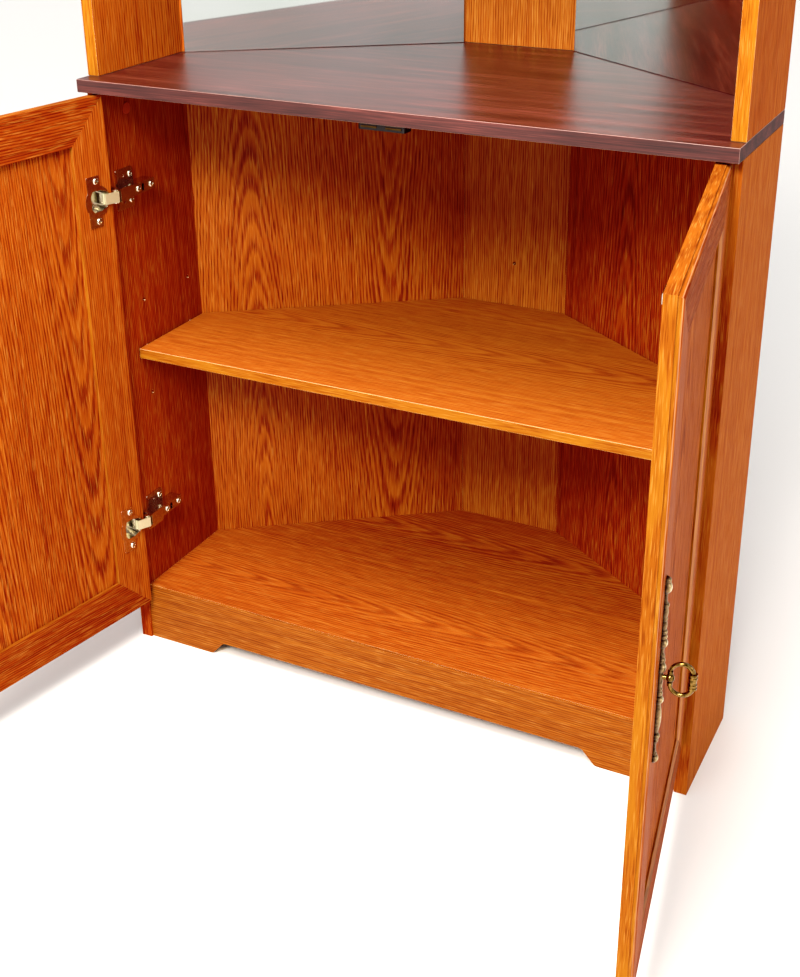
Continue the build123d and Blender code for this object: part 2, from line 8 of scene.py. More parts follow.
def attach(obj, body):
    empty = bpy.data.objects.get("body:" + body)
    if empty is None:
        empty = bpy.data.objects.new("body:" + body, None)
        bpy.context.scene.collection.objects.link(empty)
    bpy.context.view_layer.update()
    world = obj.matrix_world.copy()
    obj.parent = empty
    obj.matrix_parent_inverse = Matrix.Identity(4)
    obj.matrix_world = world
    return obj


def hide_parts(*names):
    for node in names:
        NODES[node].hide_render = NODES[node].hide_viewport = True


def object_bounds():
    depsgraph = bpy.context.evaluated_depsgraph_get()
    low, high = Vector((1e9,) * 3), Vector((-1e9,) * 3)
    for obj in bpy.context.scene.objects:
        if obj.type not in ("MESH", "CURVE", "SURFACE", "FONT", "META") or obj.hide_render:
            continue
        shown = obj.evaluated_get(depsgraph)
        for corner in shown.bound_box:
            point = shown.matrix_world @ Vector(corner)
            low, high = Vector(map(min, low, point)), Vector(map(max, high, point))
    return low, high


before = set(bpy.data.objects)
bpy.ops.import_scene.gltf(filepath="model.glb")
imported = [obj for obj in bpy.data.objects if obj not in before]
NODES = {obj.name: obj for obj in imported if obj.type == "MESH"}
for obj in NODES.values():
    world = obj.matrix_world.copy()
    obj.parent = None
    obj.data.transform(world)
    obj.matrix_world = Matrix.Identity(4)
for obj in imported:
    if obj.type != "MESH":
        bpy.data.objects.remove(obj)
cad_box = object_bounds()
MM = 0.001

# Directions that the boards and the doors lie along. Row frame: x to the right, y towards the corner, z up.
BACK_ANGLE = math.radians(35)
OPEN_ANGLE = math.radians(99.7)
ALONG_X = Vector((1, 0, 0))
ALONG_Y = Vector((0, 1, 0))
UPRIGHT = Vector((0, 0, 1))
BACK_WAY = {
    "left": Vector((math.cos(BACK_ANGLE), math.sin(BACK_ANGLE), 0)),
    "right": Vector((math.cos(BACK_ANGLE), -math.sin(BACK_ANGLE), 0)),
}
DOOR_WAY = {
    "left": Vector((math.cos(OPEN_ANGLE), -math.sin(OPEN_ANGLE), 0)),
    "right": Vector((-math.cos(OPEN_ANGLE), -math.sin(OPEN_ANGLE), 0)),
}
DOOR_OUTWARD = {
    "left": Vector((-math.sin(OPEN_ANGLE), -math.cos(OPEN_ANGLE), 0)),
    "right": Vector((math.sin(OPEN_ANGLE), -math.cos(OPEN_ANGLE), 0)),
}

# Settings and sockets of a Mix node for colours, numbered because its other modes' sockets share names
COLOUR_MIX = {"data_type": "RGBA", "out": 2}
SHARE, UNDER, OVER = 0, 6, 7


# Node and material helpers
def linear(code):
    """An sRGB hex colour as the linear colour that a shader takes."""
    channels = [int(code[i:i + 2], 16) / 255 for i in (1, 3, 5)]
    return [c / 12.92 if c <= 0.04045 else ((c + 0.055) / 1.055) ** 2.4 for c in channels] + [1.0]


def grey(value):
    return [value, value, value, 1.0]


def add(tree, kind, sockets, out=0, stops=(), **settings):
    """Adds one node with its settings, its inputs as values or links and its colour stops from the lowest up.
    Gives one output."""
    node = tree.nodes.new("ShaderNode" + kind)
    for name, value in settings.items():
        setattr(node, name, value)
    for key, value in sockets.items():
        if isinstance(value, bpy.types.NodeSocket):
            tree.links.new(value, node.inputs[key])
        else:
            node.inputs[key].default_value = value
    if stops:
        elements = node.color_ramp.elements
        for element, (place, colour) in zip(elements, (stops[0], stops[-1])):
            element.position = place
            element.color = colour
        for place, colour in stops[1:-1]:
            elements.new(place).color = colour
    return node.outputs[out] if len(node.outputs) else None


def new_material(name):
    made = bpy.data.materials.new(name)
    made.use_nodes = True
    made.node_tree.nodes.clear()
    return made, made.node_tree


def finish_material(tree, **sockets):
    shader = add(tree, "BsdfPrincipled", {key.replace("_", " "): value for key, value in sockets.items()})
    add(tree, "OutputMaterial", {"Surface": shader})


def place_along(tree, way):
    """How far a point lies along a direction, in metres."""
    here = add(tree, "TexCoord", {}, out="Object")
    return add(tree, "VectorMath", {0: here, 1: way}, out="Value", operation="DOT_PRODUCT")


def facing_along(tree, way):
    """How squarely a surface looks along a direction, forwards or backwards: 1 straight along it, 0 aside."""
    facing = add(tree, "TexCoord", {}, out="Normal")
    turned = add(tree, "VectorMath", {0: facing, 1: way}, out="Value", operation="DOT_PRODUCT")
    return add(tree, "Math", {0: turned}, operation="ABSOLUTE")


# How squarely an eased edge's middle looks along a direction at most, and a flat or mitred end at least
EASED_SQUARENESS = 0.765
FLAT_SQUARENESS = 0.80


def off_square(tree, ways):
    """1 in the middle of an eased edge, and in parts of a hole's wall, which face half way between square
    directions, and 0 on flats and on the boards' mitred ends."""
    squareness = None
    for way in ways:
        turned = facing_along(tree, way)
        squareness = turned if squareness is None else add(
            tree, "Math", {0: squareness, 1: turned}, operation="MAXIMUM")
    stops = ((EASED_SQUARENESS, grey(1)), (FLAT_SQUARENESS, grey(0)))
    return add(tree, "ValToRGB", {0: squareness}, stops=stops)


def grain_place(tree, across, along, through):
    """A point's place as how far it lies across the grain, along it and through the piece."""
    return add(tree, "CombineXYZ", {
        "X": place_along(tree, across), "Y": place_along(tree, along), "Z": place_along(tree, through)})


def stretched_noise(tree, spot, size, detail=2.0):
    """Noise whose flecks have about the given size, (width across the grain, length along it) in metres."""
    width, length = size
    scaled = add(tree, "VectorMath", {0: spot, 1: (1 / width, 1 / length, 1 / width)}, operation="MULTIPLY")
    return add(tree, "TexNoise", {"Vector": scaled, "Scale": 1.0, "Detail": detail, "Roughness": 0.55})


# Oak-look laminate. Each size is (width across the grain, length along it).
# How its growth rings run: their sway, their ragged edges and the blend where two hearts' rings meet
RING_WIDTH = 3.1 * MM
WANDER_SIZE = (60 * MM, 300 * MM)
WANDER_REACH = 7 * MM
HEART_BLEND = 8 * MM
JITTER_SIZE = (2.2 * MM, 70 * MM)
JITTER_RINGS = 0.6

# What makes up its tone: a ring as (place through it, lightness), the years' pace and each part's share
RING_PROFILE = ((0.0, 0.25), (0.2, 0.0), (0.55, 0.75), (0.85, 1.0), (1.0, 0.25))
RING_SHARE = 0.33
YEAR_PACE = 0.37
YEAR_SHARE = 0.42
CLOUD_SIZE = (60 * MM, 380 * MM)
CLOUD_SHARE = 0.22
STREAK_SIZE = (1.1 * MM, 120 * MM)
STREAK_SHARE = 0.30
MEAN_TONE = 0.46

# Its colours, from dark to light, and the tones at which they lie
TONE_STOPS = (0.0, 0.36, 0.66, 1.0)
OAK_TONES = ("#5a190a", "#8e3f16", "#a85c20", "#c08034")
# The same foil painted redder and darker: painted shade for the left wall and the right back, which the lamps
# hardly reach
SHADED_TONES = ("#561206", "#8a3510", "#a2501c", "#b8722c")
# The same foil painted yellower and lighter: painted light for the shelves, the floor board, the corner
# panels and the outer right side, where the lamps fall most
LIT_TONES = ("#66200c", "#964a1c", "#ae682a", "#c48a3e")
# The edging strip's colours, also used on the plinth. Their yellower cast is painted light, as these front
# faces catch the lamps; the quieter print is the strip's own
BAND_TONES = ("#5a220c", "#8e4f19", "#a67023", "#b99237")
BAND_CONTRAST = 0.5
BAND_SQUARENESS = 0.8
PALE_TONE = "#cf9a52"
# A painted highlight: the pale line painted along eased edges
EDGE_GLINT_TONE = "#f4dcb0"

# Its pores: dark pits where the noise is high, most in the dark wood, and pale flecks where it is low
PORE_SIZE = (0.9 * MM, 26 * MM)
PIT_START, PIT_FULL = 0.53, 0.66
PIT_STRENGTH = 0.6
PIT_OPENNESS = 1.25
FLECK_FULL, FLECK_END = 0.32, 0.43
FLECK_STRENGTH = 0.3

# Its skin
FOIL_ROUGHNESS = 0.46
PIT_ROUGHNESS = 0.2
PRESSED_DEPTH = 0.12 * MM
PRESSED_STRENGTH = 0.35


def middle_plane(board, way):
    """How far the middle of a board lies along a direction, in metres."""
    places = [vertex.co.dot(way) for vertex in NODES[board].data.vertices]
    return (min(places) + max(places)) / 2


def ring_count(tree, u, v, w, figures):
    """How many growth rings out from the nearest heart a point lies, with the rings' sway and raggedness."""
    spot = add(tree, "CombineXYZ", {"X": u, "Y": v, "Z": w})
    wander = stretched_noise(tree, spot, WANDER_SIZE, 1.0)
    shift = add(tree, "Math", {0: wander, 1: 2 * WANDER_REACH, 2: -WANDER_REACH}, operation="MULTIPLY_ADD")
    swayed = add(tree, "Math", {0: u, 1: shift}, operation="ADD")
    radius = None
    for heart_u, heart_v, lean in figures:
        du = add(tree, "Math", {0: swayed, 1: heart_u}, operation="SUBTRACT")
        dv = add(tree, "Math", {0: v, 1: lean, 2: -heart_v * lean}, operation="MULTIPLY_ADD")
        gap = add(tree, "CombineXYZ", {"X": du, "Y": dv, "Z": w})
        reach = add(tree, "VectorMath", {0: gap}, out="Value", operation="LENGTH")
        radius = reach if radius is None else add(
            tree, "Math", {0: radius, 1: reach, 2: HEART_BLEND}, operation="SMOOTH_MIN")
    jitter = stretched_noise(tree, spot, JITTER_SIZE, 1.0)
    jitter = add(tree, "Math", {0: jitter, 1: JITTER_RINGS}, operation="MULTIPLY")
    return add(tree, "Math", {0: radius, 1: 1 / RING_WIDTH, 2: jitter}, operation="MULTIPLY_ADD")


def printed_tone(tree, spot, rings, growth, shade, boldness):
    """How light the print is: its rings, its strong and weak years, its broad clouds and its fine streaks,
    less shade.
    A positive shade is painted shade over the whole board, a negative one painted light.
    """
    year = add(tree, "Math", {0: rings, 1: YEAR_PACE}, operation="MULTIPLY")
    years = add(tree, "TexNoise", {"W": year, "Scale": 1.0, "Detail": 2.0}, noise_dimensions="1D")
    clouds = stretched_noise(tree, spot, CLOUD_SIZE)
    streaks = stretched_noise(tree, spot, STREAK_SIZE)
    shares = [(part, share * boldness) for part, share in (
        (growth, RING_SHARE), (years, YEAR_SHARE), (clouds, CLOUD_SHARE), (streaks, STREAK_SHARE))]
    # shade dims the whole board as painted shade, and lifts it as painted light where it is negative
    tone = MEAN_TONE - shade - sum(share for part, share in shares) / 2
    for part, share in shares:
        tone = add(tree, "Math", {0: part, 1: share, 2: tone}, operation="MULTIPLY_ADD")
    return tone


def tone_colour(tree, tone, codes):
    """The colour of a tone between four colours, given as hex codes."""
    return add(tree, "ValToRGB", {0: tone}, stops=list(zip(TONE_STOPS, map(linear, codes))))


def oak_laminate(name, board, across, along, figures, tones=OAK_TONES, shade=0.0, boldness=1.0,
                 gloss=0.08, worn=0.8, band=None):
    """Melamine foil printed as oak and pressed with fine pores, on chipboard: warm orange with darker
    cathedral arches, fine straight lines along the grain and a satin sheen.
    figures are (place across, place along, lean): the heart of each set of arches in the board's middle
    plane. The arches point away from it along the grain, and stand the further apart the smaller the lean is.
    Faces that look along band carry the quieter edging strip, whose yellower colour is painted light on the
    lit edges.
    shade dims the whole board as painted shade, and a negative shade lifts it as painted light. The eased
    edges carry a painted highlight, a pale line as strong as worn says, and parts of the drilled holes' walls
    get the same pale paint."""
    made, tree = new_material(name)
    through = across.cross(along)
    u = place_along(tree, across)
    v = place_along(tree, along)
    w = place_along(tree, through)
    w = add(tree, "Math", {0: w, 1: middle_plane(board, through)}, operation="SUBTRACT")
    spot = add(tree, "CombineXYZ", {"X": u, "Y": v, "Z": w})

    rings = ring_count(tree, u, v, w, figures)
    growth = add(tree, "Math", {0: rings}, operation="FRACT")
    growth = add(tree, "ValToRGB", {0: growth}, stops=[(place, grey(light)) for place, light in RING_PROFILE])
    tone = printed_tone(tree, spot, rings, growth, shade, boldness)
    colour = tone_colour(tree, tone, tones)
    if band is not None:
        banded = facing_along(tree, band)
        banded = add(tree, "Math", {0: banded, 1: BAND_SQUARENESS}, operation="GREATER_THAN")
        lift = (1 - BAND_CONTRAST) * (MEAN_TONE - shade)
        quiet = add(tree, "Math", {0: tone, 1: BAND_CONTRAST, 2: lift}, operation="MULTIPLY_ADD")
        strip = tone_colour(tree, quiet, BAND_TONES)
        colour = add(tree, "Mix", {SHARE: banded, UNDER: colour, OVER: strip}, **COLOUR_MIX)

    pores = stretched_noise(tree, spot, PORE_SIZE, 1.0)
    stops = ((PIT_START, grey(0)), (PIT_FULL, grey(PIT_STRENGTH * boldness)))
    pits = add(tree, "ValToRGB", {0: pores}, stops=stops)
    dark_wood = add(tree, "Math", {0: PIT_OPENNESS, 1: growth}, operation="SUBTRACT")
    pits = add(tree, "Math", {0: pits, 1: dark_wood}, operation="MULTIPLY", use_clamp=True)
    colour = add(tree, "Mix", {SHARE: pits, UNDER: colour, OVER: linear(tones[0])}, **COLOUR_MIX)
    stops = ((FLECK_FULL, grey(FLECK_STRENGTH * boldness)), (FLECK_END, grey(0)))
    flecks = add(tree, "ValToRGB", {0: pores}, stops=stops)
    colour = add(tree, "Mix", {SHARE: flecks, UNDER: colour, OVER: linear(PALE_TONE)}, **COLOUR_MIX)

    # A painted highlight: the eased edges, and parts of the drilled holes' walls, painted pale as much as
    # worn says
    level = ALONG_X if abs(through.z) > 0.5 else through.cross(UPRIGHT)
    paleness = off_square(tree, (through, level, through.cross(level)))
    paleness = add(tree, "Math", {0: paleness, 1: worn}, operation="MULTIPLY")
    colour = add(tree, "Mix", {SHARE: paleness, UNDER: colour, OVER: linear(EDGE_GLINT_TONE)}, **COLOUR_MIX)

    roughness = add(tree, "Math", {0: pits, 1: PIT_ROUGHNESS, 2: FOIL_ROUGHNESS}, operation="MULTIPLY_ADD")
    height = add(tree, "Math", {0: pits, 1: -1.0, 2: growth}, operation="MULTIPLY_ADD")
    bump = add(tree, "Bump", {"Strength": PRESSED_STRENGTH, "Distance": PRESSED_DEPTH, "Height": height})
    finish_material(
        tree, Base_Color=colour, Roughness=roughness, Normal=bump, IOR=1.5, Specular_IOR_Level=gloss)
    return made


# The other finishes. Sizes are as above, and rates are flecks to a metre.
WALNUT_LINE_SIZE = (1.3 * MM, 60 * MM)
WALNUT_FIGURE_SIZE = (18 * MM, 320 * MM)
STRAP_LINE_SIZE = (0.3 * MM, 9 * MM)
STRIP_LINE_SIZE = (0.4 * MM, 12 * MM)
PRESS_MARK_RATE = 260.0
CAST_CLOUD_RATE = 420.0
GLASS_WAVE_RATE = 9.0
PLASTIC_SKIN_RATE = 1800.0
MARK_DEPTH = 0.1 * MM
CAST_DEPTH = 0.15 * MM
WAVE_DEPTH = 1 * MM
CREST_RISE = 7 * MM
RUBBED_STOPS = (0.30, 0.52, 0.78, 0.98)
BRONZED_TONES = ("#2a2018", "#6b5540", "#a08760", "#eadbb8")
GOLDEN_TONES = ("#3c2c14", "#7c6238", "#a2854f", "#e4d09c")


def lacquered_walnut(name):
    """Walnut-look laminate under satin lacquer: near-black maroon with fine straight lines, soft reflections
    of whatever stands on it, and duller edging strips with a painted highlight, a pale line painted where
    they are eased."""
    made, tree = new_material(name)
    spot = grain_place(tree, ALONG_Y, ALONG_X, UPRIGHT)
    lines = stretched_noise(tree, spot, WALNUT_LINE_SIZE, 3.0)
    figure = stretched_noise(tree, spot, WALNUT_FIGURE_SIZE, 3.0)
    blend = add(tree, "Math", {0: figure, 1: 0.6}, operation="MULTIPLY")
    blend = add(tree, "Math", {0: lines, 1: 0.6, 2: blend}, operation="MULTIPLY_ADD")
    colour = add(tree, "ValToRGB", {0: blend}, stops=(
        (0.40, linear("#280f0e")), (0.60, linear("#441e1b")), (0.82, linear("#6c3731"))))
    # A painted highlight: the eased edges painted as a pale line
    paleness = off_square(tree, (ALONG_X, ALONG_Y, UPRIGHT))
    paleness = add(tree, "Math", {0: paleness, 1: 0.7}, operation="MULTIPLY")
    colour = add(tree, "Mix", {SHARE: paleness, UNDER: colour, OVER: linear("#c9a79c")}, **COLOUR_MIX)
    level = facing_along(tree, UPRIGHT)
    roughness = add(tree, "ValToRGB", {0: level}, stops=((0.3, grey(0.8)), (0.9, grey(0.3))))
    bump = add(tree, "Bump", {"Strength": 0.08, "Distance": MARK_DEPTH, "Height": lines})
    finish_material(tree, Base_Color=colour, Roughness=roughness, Normal=bump, IOR=1.5)
    return made


def nickel_plate(name, ways):
    """Bright nickel on pressed steel: near-mirror grey with a warm cast and faint press marks on the flats,
    which lie square to ways, and softer rounds and edges, where the tumbling has scuffed them. Those rounds
    and edges are also painted paler, a painted highlight."""
    made, tree = new_material(name)
    here = add(tree, "TexCoord", {}, out="Object")
    marks = add(tree, "TexNoise", {"Vector": here, "Scale": PRESS_MARK_RATE, "Detail": 3.0})
    # A painted highlight: rounds and edges painted paler; their higher roughness is the tumbled finish
    paleness = off_square(tree, ways)
    colour = add(tree, "ValToRGB", {0: marks}, stops=((0.3, linear("#c9c1b2")), (0.8, linear("#e6dfd1"))))
    colour = add(tree, "Mix", {SHARE: paleness, UNDER: colour, OVER: linear("#fff6e6")}, **COLOUR_MIX)
    roughness = add(tree, "Math", {0: marks, 1: 0.16, 2: 0.12}, operation="MULTIPLY_ADD")
    roughness = add(tree, "Math", {0: paleness, 1: 0.3, 2: roughness}, operation="MULTIPLY_ADD")
    bump = add(tree, "Bump", {"Strength": 0.05, "Distance": MARK_DEPTH, "Height": marks})
    finish_material(tree, Base_Color=colour, Metallic=1.0, Roughness=roughness, Normal=bump)
    return made


def satin_strap(name):
    """Nickel on a rolled steel strap, left satin: pale warm grey without a mirror, fine lines along it."""
    made, tree = new_material(name)
    lines = stretched_noise(tree, grain_place(tree, UPRIGHT, ALONG_X, ALONG_Y), STRAP_LINE_SIZE)
    colour = add(tree, "ValToRGB", {0: lines}, stops=((0.3, linear("#cbc49c")), (0.7, linear("#e8e2c2"))))
    finish_material(tree, Base_Color=colour, Metallic=1.0, Roughness=0.5)
    return made


def antique_brass(name, tones, dullness, outward=None, face=0.0):
    """Cast brass, blackened and then polished bright: palest where it is polished most, brown between and
    nearly black where nothing polishes it. A piece that rises outward from a door's face is palest on its
    crests."""
    made, tree = new_material(name)
    here = add(tree, "TexCoord", {}, out="Object")
    clouds = add(tree, "TexNoise", {"Vector": here, "Scale": CAST_CLOUD_RATE, "Detail": 4.0})
    paleness = clouds
    if outward is not None:
        rise = add(tree, "Math", {0: place_along(tree, outward), 1: -face}, operation="ADD")
        rise = add(tree, "Math", {0: rise, 1: 1 / CREST_RISE}, operation="MULTIPLY")
        paleness = add(tree, "Math", {0: clouds, 1: 0.4, 2: rise}, operation="MULTIPLY_ADD")
    colour = add(tree, "ValToRGB", {0: paleness}, stops=list(zip(RUBBED_STOPS, map(linear, tones))))
    roughness = add(tree, "Math", {0: clouds, 1: 0.3, 2: dullness}, operation="MULTIPLY_ADD")
    bump = add(tree, "Bump", {"Strength": 0.15, "Distance": CAST_DEPTH, "Height": clouds})
    finish_material(tree, Base_Color=colour, Metallic=1.0, Roughness=roughness, Normal=bump)
    return made


def silvered_glass(name):
    """Float glass silvered on its back: a clear mirror with the faint green of the glass."""
    made, tree = new_material(name)
    here = add(tree, "TexCoord", {}, out="Object")
    waves = add(tree, "TexNoise", {"Vector": here, "Scale": GLASS_WAVE_RATE, "Detail": 1.0})
    colour = add(tree, "ValToRGB", {0: waves}, stops=((0.3, linear("#dfe5e1")), (0.7, linear("#e8ecea"))))
    bump = add(tree, "Bump", {"Strength": 0.02, "Distance": WAVE_DEPTH, "Height": waves})
    finish_material(tree, Base_Color=colour, Metallic=1.0, Roughness=0.03, Normal=bump)
    return made


def moulded_plastic(name, dark, light, roughness):
    """Injection-moulded plastic with a fine spark-eroded skin: even colour and a soft, wide highlight."""
    made, tree = new_material(name)
    here = add(tree, "TexCoord", {}, out="Object")
    skin = add(tree, "TexNoise", {"Vector": here, "Scale": PLASTIC_SKIN_RATE, "Detail": 2.0})
    colour = add(tree, "ValToRGB", {0: skin}, stops=((0.3, linear(dark)), (0.7, linear(light))))
    bump = add(tree, "Bump", {"Strength": 0.12, "Distance": MARK_DEPTH, "Height": skin})
    finish_material(tree, Base_Color=colour, Roughness=roughness, Normal=bump, IOR=1.5)
    return made


def oxidised_strip(name):
    """Rolled steel strip with a bronze oxide skin: dull brown metal, lines along its length."""
    made, tree = new_material(name)
    lines = stretched_noise(tree, grain_place(tree, UPRIGHT, ALONG_X, ALONG_Y), STRIP_LINE_SIZE)
    colour = add(tree, "ValToRGB", {0: lines}, stops=((0.3, linear("#33261a")), (0.7, linear("#6e5636"))))
    finish_material(tree, Base_Color=colour, Metallic=1.0, Roughness=0.34)
    return made


# Eased edges, wider on boards than on pressed metal, and none on the finest fittings
BOARD_EDGE = 1.0 * MM
PRESSED_EDGE = 0.5 * MM
WELD_REACH = 0.01 * MM
SHARP_ANGLE = math.radians(28)
FINE_FITTINGS = ("hinge_", "door_pull", "door_cup", "door_strike", "catch_", "cam_")


def soften(names, width):
    """A small round on every sharp edge, so that it catches the light as a real edge does."""
    for name in names:
        weld = NODES[name].modifiers.new("joined_faces", "WELD")
        weld.merge_threshold = WELD_REACH
        bevel = NODES[name].modifiers.new("eased_edges", "BEVEL")
        bevel.width = width
        bevel.segments = 2
        bevel.limit_method = "ANGLE"
        bevel.angle_limit = SHARP_ANGLE
        bevel.harden_normals = True


# Screws, each with a pan head and a pressed cross recess. Head steps are shares of its radius and height.
HEAD_RADIUS = 3.7 * MM
HEAD_HEIGHT = 1.6 * MM
HEAD_STEPS = ((1.0, 0.0), (1.0, 0.45), (0.9, 0.8), (0.7, 1.0))
SHANK_RADIUS = 1.8 * MM
SHORTEST_SHANK = 1 * MM
RECESS_REACH = 2.1 * MM
RECESS_HALF = 0.5 * MM
RECESS_DEPTH = 1.2 * MM
RECESS_TAPER = 0.7
ROUND_STEPS = 24
SCREW_REACH = 12 * MM
CREASE_ANGLE = math.radians(30)


def corners_by_screw(node):
    """The corner points of a node's screws, a list for each screw. One screw's corners lie less than
    SCREW_REACH apart, and two screws stand further apart than that."""
    groups = []
    for vertex in NODES[node].data.vertices:
        for group in groups:
            if (group[0] - vertex.co).length < SCREW_REACH:
                group.append(vertex.co)
                break
        else:
            groups.append([vertex.co])
    return groups


def ring_of_points(shape, spot, radius, rise):
    turns = [2 * math.pi * step / ROUND_STEPS for step in range(ROUND_STEPS)]
    return [shape.verts.new(spot(radius * math.cos(turn), radius * math.sin(turn), rise)) for turn in turns]


def cross_of_points(shape, spot, size, rise):
    arm = ((RECESS_REACH, -RECESS_HALF), (RECESS_REACH, RECESS_HALF), (RECESS_HALF, RECESS_HALF))
    places = []
    for quarter in range(4):
        for along, aside in arm:
            x, y = along * size, aside * size
            for turn in range(quarter):
                x, y = -y, x
            places.append(shape.verts.new(spot(x, y, rise)))
    return places


def join_rings(shape, lower, upper):
    for number in range(len(lower)):
        shape.faces.new((lower[number - 1], lower[number], upper[number], upper[number - 1]))


def fill_between(shape, loops):
    """Faces between an outer loop of points and an inner one."""
    edges = []
    for loop in loops:
        for number in range(len(loop)):
            ends = (loop[number - 1], loop[number])
            edges.append(shape.edges.get(ends) or shape.edges.new(ends))
    bmesh.ops.triangle_fill(shape, use_beauty=True, edges=edges)


def add_screw(shape, corners, out):
    """One screw that looks along out, in the place of the plain one with these corners."""
    aside = out.cross(UPRIGHT)

    def reach(way):
        places = [corner.dot(way) for corner in corners]
        return min(places), max(places)

    centre_x, centre_y = (sum(reach(way)) / 2 for way in (aside, UPRIGHT))
    bottom, top = reach(out)

    def spot(x, y, rise):
        return aside * (centre_x + x) + UPRIGHT * (centre_y + y) + out * rise

    seat = top - HEAD_HEIGHT
    shank = [(SHANK_RADIUS, bottom), (SHANK_RADIUS, seat)] if bottom < seat - SHORTEST_SHANK else []
    head = [(HEAD_RADIUS * share, seat + HEAD_HEIGHT * rise) for share, rise in HEAD_STEPS]
    rings = [ring_of_points(shape, spot, radius, rise) for radius, rise in shank + head]
    shape.faces.new(rings[0])
    for lower, upper in zip(rings, rings[1:]):
        join_rings(shape, lower, upper)
    mouth = cross_of_points(shape, spot, 1.0, top)
    floor = cross_of_points(shape, spot, RECESS_TAPER, top - RECESS_DEPTH)
    join_rings(shape, mouth, floor)
    shape.faces.new(floor)
    fill_between(shape, (rings[-1], mouth))


def cross_head_screws(node, body, material, outward=None):
    """Detailed screws in the place of a node's plain ones. They look along outward, or else away from the
    side panel."""
    shape = bmesh.new()
    for corners in corners_by_screw(node):
        add_screw(shape, corners, outward or (ALONG_X if corners[0].x < 0 else -ALONG_X))
    bmesh.ops.recalc_face_normals(shape, faces=shape.faces)
    mesh = bpy.data.meshes.new(f"{node}_cross_heads")
    shape.to_mesh(mesh)
    shape.free()
    for face in mesh.polygons:
        face.use_smooth = True
    mesh.set_sharp_from_angle(angle=CREASE_ANGLE)
    mesh.materials.append(material)
    screws = bpy.data.objects.new(mesh.name, mesh)
    bpy.context.scene.collection.objects.link(screws)
    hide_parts(node)
    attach(screws, body)


# Which finish each node gets
def dress(names, material):
    for name in names:
        for slot in NODES[name].material_slots:
            slot.material = material


def clad(name, boards, across, along, figures, **print_of):
    """Puts one oak foil on boards whose grain runs the same way. The first board's middle plane is used."""
    dress(boards, oak_laminate(f"oak_foil_{name}", boards[0], across, along, figures, **print_of))


def dress_boards():
    # The tones and shade given to each board paint the light that board gets: one and the same foil is
    # painted as shaded and lit copies, a positive shade is painted shade and a negative one painted light
    side = {"boldness": 0.8, "gloss": 0.01, "worn": 1.0}
    # The lower side panels go without the yellower edging strip, so that their front edges stay darker:
    # painted shade where the open doors shade them
    clad("side_left", ["side_panel_left"], ALONG_Y, UPRIGHT, [(0.5, 1.6, 0.06)], tones=SHADED_TONES, **side)
    clad("side_right", ["side_panel_right"], ALONG_Y, UPRIGHT, [(0.4, 2.0, 0.05)], tones=LIT_TONES,
         shade=0.05, **side)
    clad("upright", ["upper_side_right", "upper_side_left"], ALONG_Y, UPRIGHT, [(0.4, 2.0, 0.05)],
         band=ALONG_Y, **side)
    clad("back_left", ["back_panel_left", "upper_back_panel_left"], BACK_WAY["left"], UPRIGHT,
         [(-0.347, 0.02, 0.075), (-0.163, 1.15, 0.055)], shade=-0.04)
    clad("back_right", ["back_panel_right", "upper_back_panel_right"], BACK_WAY["right"], UPRIGHT,
         [(0.19, -0.3, 0.05)], tones=SHADED_TONES, shade=0.06)
    clad("corner", ["corner_panel"], ALONG_X, UPRIGHT, [(0.36, -1.8, 0.04)], tones=LIT_TONES, shade=-0.04,
         worn=1.0)
    clad("upper_corner", ["upper_corner_panel"], ALONG_X, UPRIGHT, [(0.36, -1.8, 0.04)], tones=LIT_TONES,
         shade=-0.1)
    level = {"tones": LIT_TONES, "gloss": 0.04, "band": ALONG_Y}
    clad("floor", ["floor_board"], ALONG_Y, ALONG_X, [(-0.30, -0.7, 0.05), (-0.087, -0.8, 0.05)], shade=0.11,
         boldness=0.75, **level)
    clad("shelf", ["base_shelf", "upper_shelf_1", "upper_shelf_2"], ALONG_Y, ALONG_X,
         [(-0.18, -0.75, 0.045)], boldness=0.7, **level)
    clad("plinth", ["plinth"], UPRIGHT, ALONG_X, [(-0.3, -1.5, 0.03)], tones=BAND_TONES, shade=0.2,
         boldness=0.7)
    dress(["counter_top", "upper_top"], lacquered_walnut("walnut_foil_counter"))
    dress(["mirror_panes"], silvered_glass("silvered_float_glass"))


# How far the grain of a door's rails climbs, as a share of its run
RAIL_SLANT = 0.02


def dress_doors():
    for side, way in DOOR_WAY.items():
        # The doors' shade values are painted shade, strongest on the rails
        clad(f"door_panel_{side}", [f"door_panel_{side}"], way, UPRIGHT,
             [(0.513, 1.15, 0.052), (0.68, -0.6, 0.05)], shade=0.09, gloss=0.01, worn=0.15)
        clad(f"stile_{side}", [f"door_stile_hinge_{side}", f"door_stile_free_{side}"], way, UPRIGHT,
             [(0.1, -2.0, 0.03)], shade=0.04, boldness=0.8, gloss=0.03, worn=0.15, band=way)
        slant = (way + RAIL_SLANT * UPRIGHT).normalized()
        clad(f"rail_{side}", [f"door_rail_top_{side}", f"door_rail_bottom_{side}"],
             slant.cross(DOOR_OUTWARD[side]), slant, [(1.2, -0.9, 0.06)], shade=0.20, boldness=0.8,
             gloss=0.01, worn=0.15, band=UPRIGHT)


